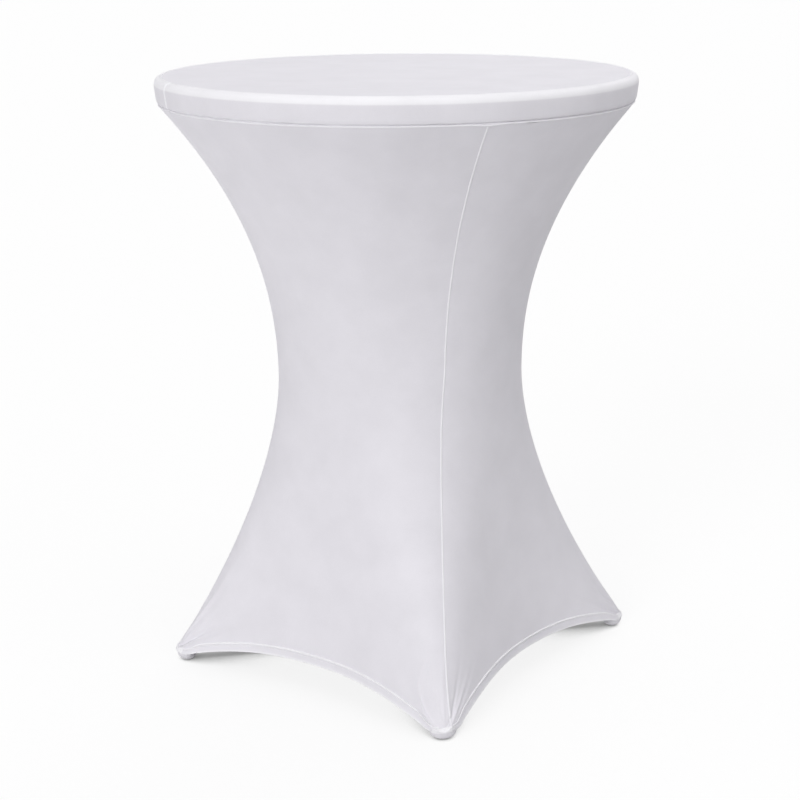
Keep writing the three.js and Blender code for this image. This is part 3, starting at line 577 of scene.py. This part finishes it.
def band_profile():
    """Section of the edge band from the top seam over the shoulder to the lip under the edge."""
    path = [(BAND_INNER_RADIUS + i * 0.275, PANEL_TOP) for i in range(4)]
    centre = RIM_RADIUS - SHOULDER_WIDTH
    for a in np.linspace(90, 0, 18):
        c, s = math.cos(math.radians(a)), math.sin(math.radians(a))
        path.append((centre + SHOULDER_WIDTH * c, PANEL_TOP - SHOULDER_DROP * (1 - s)))
    high = PANEL_TOP - SHOULDER_DROP
    for z in np.linspace(high - 2, BAND_BOTTOM + 5, 12):
        # The taut band runs in towards its lower edge.
        share = (high - z) / (high - BAND_BOTTOM)
        path.append((RIM_RADIUS - (RIM_RADIUS - LIP_RADIUS) * share**1.3, z))
    for a in np.linspace(0, -105, 9):
        c, s = math.cos(math.radians(a)), math.sin(math.radians(a))
        path.append((LIP_RADIUS - LIP_ROLL + LIP_ROLL * c, BAND_BOTTOM + LIP_ROLL + LIP_ROLL * s))
    path.append((421.4, BAND_BOTTOM + 1.4))
    path.append((419.6, BAND_BOTTOM + 2.6))
    return np.array(path)


def offset_profile(path, distance):
    """The profile moved to its right-hand side by distance."""
    along = np.gradient(path, axis=0)
    along /= np.linalg.norm(along, axis=1)[:, None]
    return path + distance * np.stack([along[:, 1], -along[:, 0]], -1)


def add_band():
    path = band_profile()
    length = np.concatenate([[0], np.cumsum(np.linalg.norm(np.diff(path, axis=0), axis=1))])
    inner = offset_profile(path, CLOTH)
    half = 1.1 / TOP_RADIUS
    azimuth = np.linspace(BAND_JOIN_AZIMUTH + half, BAND_JOIN_AZIMUTH + 2 * math.pi - half, 520)
    turn = (azimuth - azimuth[0]) / (azimuth[-1] - azimuth[0])
    ripple = random_wave(5, 2690, (31, 47, 88, 190), 0.10)(turn)[:, None]
    on_edge = smooth((PANEL_TOP - 3 - path[:, 1]) / 14)[None, :]
    outer_grid = ring_point(path[None, :, 0] + ripple * on_edge, azimuth[:, None], path[None, :, 1])
    inner_grid = ring_point(inner[None, :, 0] + ripple * on_edge, azimuth[:, None], inner[None, :, 1])
    # The cloth is paler at the top seam, where it is doubled, and down over the whole shoulder, where
    # the paleness is a painted highlight; a little paler at the rolled lip.
    # Painted highlight: the whole shoulder, 13.5 mm down from the top, takes the paler colour.
    doubled_and_highlight = smooth((path[:, 1] - (PANEL_TOP - 13.5)) / 3.0)
    doubled_and_highlight = np.maximum(doubled_and_highlight, 0.35 * smooth((BAND_BOTTOM + 2.5 - path[:, 1]) / 2))
    u = np.broadcast_to((azimuth * TOP_RADIUS)[:, None], outer_grid.shape[:2])
    uv = np.stack([u, np.broadcast_to(length, u.shape)], -1)
    band = shell("edge_band_cloth", outer_grid, inner_grid, uv, doubled_and_highlight[None, :])
    keep(band, white_knit, nodes=["cover_edge_band"])

    # The join: two turned edges side by side, standing a little proud.
    rows = path[1:-2]
    normal = offset_profile(path, -1)[1:-2] - rows
    across = np.array([-2.3, -2.0, -1.4, -0.7, -0.15, 0.15, 0.7, 1.4, 2.0, 2.3])
    proud = np.array([-0.3, 0.35, 0.85, 0.85, 0.35, 0.35, 0.85, 0.85, 0.35, -0.3])
    across = np.concatenate([across, across[::-1] * 0.9])
    proud = np.concatenate([proud, np.full(10, -1.3)])
    radius = rows[:, None, 0] + normal[:, None, 0] * proud
    height = rows[:, None, 1] + normal[:, None, 1] * proud
    grid = ring_point(radius, BAND_JOIN_AZIMUTH + across[None, :] / TOP_RADIUS, height)
    uv = np.stack(np.broadcast_arrays(across[None, :], length[1:-2, None]), -1)
    join = tube("band_join_seam", grid, uv, layers_and_highlight=0.9)
    keep(join, stitched_knit, nodes=["cover_band_join"])


def under_seam_drop(azimuth):
    """How far the seam under the band hangs below its usual height."""
    at_front = np.exp(-(((azimuth - (-QUARTER + math.radians(SEAM_TWIST))) / 0.045) ** 2))
    at_back = np.exp(-(((azimuth - (QUARTER + math.radians(SEAM_TWIST))) / 0.045) ** 2))
    join = np.exp(-(((azimuth - BAND_JOIN_AZIMUTH - 0.02) / 0.05) ** 2))
    slow = 0.5 * np.sin(2 * azimuth + 0.9) + 0.35 * np.sin(5 * azimuth)
    return 2.0 * at_front + 1.6 * at_back - 1.3 * join + 0.5 * slow + 0.3


def add_under_seam():
    steps = 720
    azimuth = np.linspace(-math.pi, math.pi, steps, endpoint=False)[:, None]
    angle = np.linspace(-150, 95, 12)[None, :]
    r = UNDER_SEAM_RADIUS + UNDER_SEAM_ROLL * np.cos(np.radians(angle))
    z = UNDER_SEAM_HEIGHT + UNDER_SEAM_ROLL * np.sin(np.radians(angle))
    profile_r = np.concatenate([r, [[421.3, 420.8, 419.6, 420.0]]], 1)
    profile_z = np.concatenate([z, [[1055.4, 1058.6, 1058.6, 1053.0]]], 1)
    on_roll = np.concatenate([np.ones(12), [0.2, 0, 0, 0.8]])[None, :]
    rings = ring_point(profile_r, azimuth, profile_z - under_seam_drop(azimuth) * on_roll)
    u = np.broadcast_to(azimuth * 423, (steps, 16))
    uv = np.stack([u, np.broadcast_to(profile_z, u.shape)], -1)
    seam = tube("under_band_seam", rings, uv, wrap=True, layers_and_highlight=0.55)
    keep(seam, stitched_knit, nodes=["cover_under_seam"])


# ---- cover: skirt panels, vertical seams, hems -------------------------------------------------
def add_skirt():
    rows = spread(0, 1, lambda t: 0.0019 + 0.0082 * smooth((t - 0.02) / 0.2))
    for side, label in enumerate(["right", "left"]):
        start = foot_azimuth(2 * side)
        bare = spread(start, start + math.pi, column_step)[:, None]
        lower, upper = hem_edges(bare)
        foot = upper - np.minimum(6.0, 0.4 * (upper - lower))
        top = SKIRT_TOP + 0.6 - under_seam_drop((bare + math.pi) % (2 * math.pi) - math.pi)
        height = foot + (top - foot) * rows[None, :]
        # Columns lean with the seams, most at the panel's two ends.
        azimuth = bare + seam_lean(height) * smooth((height - foot) / LEAN_HEIGHT)
        at_end = np.minimum(bare - start, start + math.pi - bare)
        end_lean = seam_lean(height) * (1 - smooth((height - foot) / LEAN_HEIGHT))
        azimuth = azimuth + end_lean * np.exp(-((at_end * TOE_CENTRE / 60) ** 2))
        tuck = 1.1 * smooth((height - (top - 5)) / 5) + 0.75 * smooth((upper - height) / 1.5)
        outer = surface(azimuth, height, -tuck)
        inner = surface(azimuth, height, -tuck - CLOTH)
        slope = np.hypot(1, np.gradient(corner_radius(height), axis=1) / np.gradient(height, axis=1))
        v = np.cumsum(np.gradient(height, axis=1) * slope, axis=1)
        u = np.broadcast_to((bare - start) * 300, height.shape)
        panel = shell(
            f"skirt_cloth_{label}", outer, inner, np.stack([u, v], -1), np.zeros(height.shape)
        )
        keep(panel, white_knit, nodes=[f"skirt_panel_{label}"])


def add_vertical_seams():
    """A raised ridge from the toe to the band."""
    height = spread(24.0, SKIRT_TOP - 0.5, lambda h: 1.6 + 3.4 * smooth((h - 60) / 200))[:, None]
    across = np.array([-2.0, -1.7, -1.2, -0.6, 0.0, 0.6, 1.2, 1.7, 2.0, 1.6, 0.0, -1.6])
    proud = np.array([-0.35, 0.3, 0.75, 1.0, 1.08, 1.0, 0.75, 0.3, -0.35, -0.8, -0.9, -0.8])
    for side, label in enumerate(["front", "back"]):
        start = foot_azimuth(2 * side)
        share = height / SKIRT_TOP
        sway = random_wave(11 + side, 1000, (70, 110, 210), 0.22)(share)
        pucker = random_wave(21 + side, 1000, (7, 11, 17), 0.07)(share)
        azimuth = start + seam_lean(height) + (across + sway) / skirt_radius(start, height)
        dip = np.where(height > SKIRT_TOP - 8, under_seam_drop(-QUARTER + 0.19) * 0.9, 0.0)
        middle = start + seam_lean(height)
        lifted = proud * smooth((height - 22) / 6) + pucker * (proud > 0.5)
        base = folds(middle, height) - folds(azimuth, height)
        rings = surface(azimuth, height - dip, lifted + 0.7 * base)
        uv = np.stack(np.broadcast_arrays(across[None, :], height), -1)
        seam = tube(f"skirt_seam_ridge_{label}", rings, uv, layers_and_highlight=0.62)
        keep(seam, stitched_knit, nodes=[f"skirt_seam_{label}"])


# Section of the folded hem: mm up from its lower edge where it is 18 mm wide, mm proud.
HEM_SECTION = np.array(
    [
        (0.0, -0.35), (0.25, 0.45), (0.9, 0.98), (1.9, 1.12), (3.0, 0.9), (4.4, 0.68),
        (6.5, 0.66), (9.0, 0.7), (10.8, 0.66), (11.5, 0.40), (12.2, 0.66), (13.2, 0.60),
        (13.9, 0.20), (14.6, 0.6), (15.3, 1.6), (16.2, 2.15), (17.2, 1.9), (17.9, 1.0),
        (18.2, 0.1), (18.0, -0.7), (16.5, -1.25), (12.0, -1.4), (6.0, -1.4), (1.6, -1.3),
        (0.4, -0.95),
    ]
)
HEM_TRACKS = (11.5, 13.9)  # the two rows of stitches
HEM_LAYERS = np.interp(HEM_SECTION[:, 0], [0, 2, 4, 14, 15, 18.2], [1.0, 0.9, 0.15, 0.1, 1.1, 1.1])


def hem_point(azimuth, up, proud, pucker):
    lower, upper = hem_edges(azimuth)
    height = lower + (upper - lower) * up / HEM_WIDTH
    return surface(azimuth, height, proud + pucker)


def stitch_row(starts, ends, lifts, radius):
    """Short bulged threads from each start to each end; returns points and faces."""
    sides, stations = 5, np.array([0.0, 0.18, 0.5, 0.82, 1.0])
    girth = np.array([0.25, 0.85, 1.0, 0.85, 0.25])
    along = ends - starts
    length = np.linalg.norm(along, axis=1, keepdims=True)
    along = along / length
    side = np.cross(along, lifts)
    side /= np.linalg.norm(side, axis=1, keepdims=True)
    up = np.cross(side, along)
    turn = np.linspace(0, 2 * math.pi, sides, endpoint=False)
    ring = np.cos(turn)[None, :, None] * side[:, None, :] + np.sin(turn)[None, :, None] * up[:, None, :]
    centre = starts[:, None, :] + (ends - starts)[:, None, :] * stations[None, :, None]
    arch = up[:, None, :] * (0.55 * radius * np.sin(stations * math.pi))[None, :, None]
    points = (centre + arch)[:, :, None, :] + ring[:, None] * (radius * girth)[None, :, None, None]
    count, per = len(starts), sides * len(stations)
    base = np.arange(per).reshape(len(stations), sides)
    closed = np.concatenate([base, base[:, :1]], 1)
    quads = np.stack([closed[:-1, :-1], closed[1:, :-1], closed[1:, 1:], closed[:-1, 1:]], -1)
    shift = (np.arange(count) * per)[:, None, None]
    caps = np.stack([base[0], base[-1, ::-1]])
    return (
        points.reshape(-1, 3),
        (quads.reshape(-1, 4)[None] + shift).reshape(-1, 4),
        (caps[None] + shift).reshape(-1, sides),
    )


def stitches(name, rows):
    """One piece with all the stitches of several rows."""
    points, quads, caps, base = [], [], [], 0
    for starts, ends, lifts, radius in rows:
        p, q, c = stitch_row(starts, ends, lifts, radius)
        points.append(p)
        quads.append(q + base)
        caps.append(c + base)
        base += len(p)
    faces = [np.concatenate(quads), np.concatenate(caps)]
    piece = mesh_object(name, np.concatenate(points), faces, smooth_angle=math.pi)
    keep(piece, white_thread)


def even_run(place, low, high, pitch, stitch):
    """Starts and ends of stitches of one length at one pitch along place(parameter)."""
    fine = np.linspace(low, high, 6000)
    track = place(fine)
    length = np.concatenate([[0], np.cumsum(np.linalg.norm(np.diff(track, axis=0), axis=1))])
    count = int(length[-1] // pitch)
    at = (np.arange(count) + 0.2) * pitch
    first, last = np.interp(at, length, fine), np.interp(at + stitch, length, fine)
    return first, last


def add_hems():
    end = math.asin(HEM_END_WIDTH / (TOE_CENTRE + TOE_RADIUS))
    for index in range(4):
        start = foot_azimuth(index)
        azimuth = spread(start + end, start + QUARTER - end, column_step)[:, None]
        share = (azimuth - start) / QUARTER
        pucker = random_wave(31 + index, 620, (9, 13, 21, 37), 0.12)(share)
        taper = smooth((np.minimum(azimuth - azimuth[0], azimuth[-1] - azimuth) * 430) / 5)
        section = HEM_SECTION[None]
        front = section[..., 1] > -0.3
        proud = np.where(front, section[..., 1] * (0.35 + 0.65 * taper), section[..., 1])
        rings = hem_point(azimuth, section[..., 0], proud, pucker * front)
        uv = np.stack(np.broadcast_arrays(azimuth * 430, section[..., 0]), -1)
        hem = tube(f"hem_cloth_{index + 1}", rings, uv, layers_and_highlight=HEM_LAYERS[None, :])
        keep(hem, stitched_knit, nodes=[f"hem_band_{index + 1}"])

        rows = []
        for track in HEM_TRACKS:
            def place(a, track=track):
                return hem_point(a, track, 0.62, 0)

            low, high = azimuth[0, 0] + 0.01, azimuth[-1, 0] - 0.01
            first, last = even_run(place, low, high, STITCH_PITCH, STITCH_LENGTH)
            lifts = place((first + last) / 2) * np.array([1, 1, 0])
            rows.append((place(first), place(last), lifts, STITCH_RADIUS))
        stitches(f"hem_stitches_{index + 1}", rows)


# ---- cover: foot pockets and their straps ------------------------------------------------------
# Section of the strap: mm up from its lower edge, mm proud.
STRAP_SECTION = np.array(
    [
        (0.0, 0.3), (0.3, 1.25), (1.1, 1.9), (2.2, 2.0), (3.6, 1.75), (5.0, 1.65), (6.4, 1.75),
        (7.6, 2.05), (8.6, 1.95), (9.3, 1.3), (9.5, 0.4), (9.0, -0.6), (5.0, -0.6), (0.6, -0.5),
    ]
)
STRAP_MIDDLE = 4.75


def add_feet():
    spokes, steps = 72, 26
    for index in range(4):
        turn = foot_azimuth(index)
        phi = np.linspace(-math.pi, math.pi, spokes, endpoint=False)[:, None]
        # The rim drops behind the toe, to let the arm of the base in.
        rim = 12.0 + 9.0 * (1 - smooth((np.abs(phi) - math.radians(104)) / math.radians(40)))
        t = np.linspace(0.012, 1, steps)[None, :]
        level = rim / (TOE_HEIGHT + 2.2)

        def bowl(inset, t=t, phi=phi, level=level, index=index):
            """Radius and height of the pocket's cloth, inset from its outer face."""
            angle = t * QUARTER * (0.78 + 0.22 * level)
            reach = np.sin(angle) ** (2 / TOE_SQUARENESS)
            drop = np.cos(angle) ** (2 / TOE_SQUARENESS)
            # Gathers where the pocket is sewn to the strap die out under the foot.
            gather = 0.28 * np.sin(17 * phi + index) + 0.2 * np.sin(29 * phi + 2 * index)
            gather = gather * smooth((t - 0.45) / 0.5)
            radius = (TOE_RADIUS - 0.5 - inset) * reach + gather
            height = TOE_HEIGHT - (TOE_HEIGHT - 0.25 - inset) * drop
            return radius, height

        def placed(inset):
            radius, height = bowl(inset)
            x = TOE_CENTRE + radius * np.cos(phi)
            y = TOE_WIDENING * radius * np.sin(phi)
            c, s = math.cos(turn), math.sin(turn)
            return np.stack(np.broadcast_arrays(x * c - y * s, x * s + y * c, height), -1)

        outer, inner = placed(0.0), placed(CLOTH)
        uv = np.stack([outer[..., 0] + outer[..., 2], outer[..., 1]], -1)
        layers_and_highlight = np.full((spokes, steps), 0.05)
        pocket = shell(f"pocket_cloth_{index + 1}", outer, inner, uv, layers_and_highlight, wrap=True)
        pocket.data.materials.append(white_knit)
        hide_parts(f"foot_pocket_{index + 1}")
        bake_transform(pocket)

        tilt = (0.13, -0.04, 0.08, -0.06)[index]
        aside = np.linspace(-22.5, 20.5, 56)[:, None]
        azimuth = turn + np.arcsin(aside / (TOE_CENTRE + TOE_RADIUS))
        up, proud = STRAP_SECTION[None, :, 0], STRAP_SECTION[:, 1]
        ends = smooth((aside - aside[0]) / 2.6) * smooth((aside[-1] - aside) / 2.6)
        bulge = proud[None, :] * (0.25 + 0.75 * ends) + 0.12 * np.sin(aside * 1.1 + up)
        narrow = 0.86 + 0.14 * ends
        height = STRAP_LOW + 0.3 + STRAP_MIDDLE + (up - STRAP_MIDDLE) * narrow + tilt * aside
        rings = surface(azimuth, height, bulge)
        uv = np.stack(np.broadcast_arrays(aside, up), -1)
        strap = tube(f"toe_strap_{index + 1}", rings, uv, layers_and_highlight=1.0)
        keep(strap, stitched_knit, nodes=[f"pocket_strap_{index + 1}"])


add_top()
add_band()
add_under_seam()
add_skirt()
add_vertical_seams()
add_hems()
add_feet()

# ---- the table inside the cover ----------------------------------------------------------------
FINISH_OF = {
    "tabletop_board": "board_wood",
    "tabletop_edging": "edging_plastic",
    "arm_end_plug": "black_plastic",
    "levelling_glide": "black_plastic",
    "tie_rod": "zinc_steel",
    "rod_": "zinc_steel",
    "top_plate_screw": "zinc_steel",
    "arm_bolt": "zinc_steel",
    "glide_lock_nut": "zinc_steel",
}
for name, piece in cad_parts.items():
    if piece.hide_render:
        continue
    named = [finish for start, finish in FINISH_OF.items() if name.startswith(start)]
    finish = table_finish[named[0] if named else "grey_paint"]
    piece.data.shade_smooth()
    piece.data.set_sharp_from_angle(angle=math.radians(32))
    for material_slot in piece.material_slots:
        material_slot.material = finish


# ---- camera, light and floor -------------------------------------------------------------------
CAMERA_AZIMUTH = math.radians(8.97)  # to the left of the front foot
CAMERA_DISTANCE = 3.109
CAMERA_HEIGHT = 1.375
PITCH, YAW, ROLL = (math.radians(v) for v in (16.80, 1.35, -0.33))
FOCAL = 2.1395  # focal length over the frame's width
SHIFT = (-0.050, 0.0344)
SENSOR = 36.0


def add_camera():
    data = bpy.data.cameras.new("camera")
    data.sensor_width = SENSOR
    data.lens = FOCAL * SENSOR
    data.shift_x, data.shift_y = SHIFT
    data.clip_start, data.clip_end = 0.05, 200
    camera = bpy.data.objects.new("camera", data)
    bpy.context.scene.collection.objects.link(camera)
    forward = Vector(
        (math.sin(YAW) * math.cos(PITCH), math.cos(YAW) * math.cos(PITCH), -math.sin(PITCH))
    )
    right = Vector((math.cos(YAW), -math.sin(YAW), 0))
    up = right.cross(forward)
    tilted_right = math.cos(ROLL) * right + math.sin(ROLL) * up
    tilted_up = -math.sin(ROLL) * right + math.cos(ROLL) * up
    turn = Matrix((tilted_right, tilted_up, -forward)).transposed().to_4x4()
    place = Matrix.Translation((0, -CAMERA_DISTANCE, CAMERA_HEIGHT)) @ turn
    camera.matrix_world = Matrix.Rotation(-CAMERA_AZIMUTH, 4, "Z") @ place
    bpy.context.scene.camera = camera


def add_sun(name, azimuth, elevation, strength, spread_angle):
    data = bpy.data.lights.new(name, "SUN")
    data.energy = strength
    data.angle = math.radians(spread_angle)
    light = bpy.data.objects.new(name, data)
    bpy.context.scene.collection.objects.link(light)
    a, e = math.radians(azimuth), math.radians(elevation)
    towards = Vector((math.cos(a) * math.cos(e), math.sin(a) * math.cos(e), math.sin(e)))
    light.rotation_mode = "QUATERNION"
    light.rotation_quaternion = towards.to_track_quat("Z", "Y")


def stage_material(name, colour, emission):
    """Matt paint that glows by itself."""
    return Nodes(name).finish(
        Base_Color=colour,
        Roughness=1.0,
        Specular_IOR_Level=0.0,
        Emission_Color=(1, 1, 1, 1),
        Emission_Strength=emission,
    )


def floor_glow_and_painted_shadow():
    """Glows, as a lit studio sweep does, so its real shadows are light; ambient occlusion dims the glow
    close under the cloth, a painted shadow.
    """
    n = Nodes("floor_glow_and_painted_shadow")
    near = n.add("ShaderNodeAmbientOcclusion", {"Distance": 0.2}, samples=12).outputs["AO"]
    # Painted shadow: the glow falls where ambient occlusion finds cloth close by.
    glow_with_painted_shadow = n.remap(near, 0.12, 0.862, 0.08, 0.46)
    return n.finish(
        Base_Color=(0.14, 0.14, 0.14, 1),
        Roughness=1.0,
        Specular_IOR_Level=0.0,
        Emission_Color=(1, 1, 1, 1),
        Emission_Strength=glow_with_painted_shadow,
    )


def stage_disc(name, height, radius, material):
    bpy.ops.mesh.primitive_circle_add(
        vertices=96, radius=radius, fill_type="NGON", location=(0, 0, height)
    )
    disc = bpy.context.object
    disc.name = name
    disc.data.materials.append(material)
    return disc


def add_stage():
    far = 70  # metres, well beyond the camera
    floor = stage_disc("floor", 0, far, floor_glow_and_painted_shadow())
    floor.visible_diffuse = False
    floor.visible_glossy = False
    floor.visible_shadow = False
    # The light that the floor throws back up comes from a duller copy just under it.
    bounce_paint = stage_material("bounce_paint", (0.6, 0.6, 0.6, 1), 0.0)
    bounce = stage_disc("floor_bounce", -0.001, far, bounce_paint)
    bounce.visible_camera = False
    bounce.visible_shadow = False
    bpy.ops.mesh.primitive_uv_sphere_add(segments=64, ring_count=32, radius=far * 0.98)
    sky = bpy.context.object
    sky.name = "backdrop"
    sky.data.materials.append(stage_material("backdrop_paint", (0, 0, 0, 1), 0.985))
    sky.visible_diffuse = False
    sky.visible_glossy = False
    sky.visible_shadow = False
    sky.visible_transmission = False
    world = bpy.data.worlds.new("studio")
    world.use_nodes = True
    background = world.node_tree.nodes["Background"]
    background.inputs["Color"].default_value = (0.985, 0.985, 1.0, 1)
    background.inputs["Strength"].default_value = 0.34
    bpy.context.scene.world = world


add_camera()
add_sun("key", -130, 20, 1.35, 30)
add_sun("right_fill", -45, 25, 0.52, 60)
add_sun("top_light", 0, 88, 0.82, 50)
add_sun("back_light", 60, 30, 0.62, 60)
add_sun("left_reflector", -175, -25, 0.78, 50)
add_stage()
bpy.context.scene.view_settings.view_transform = "Standard"
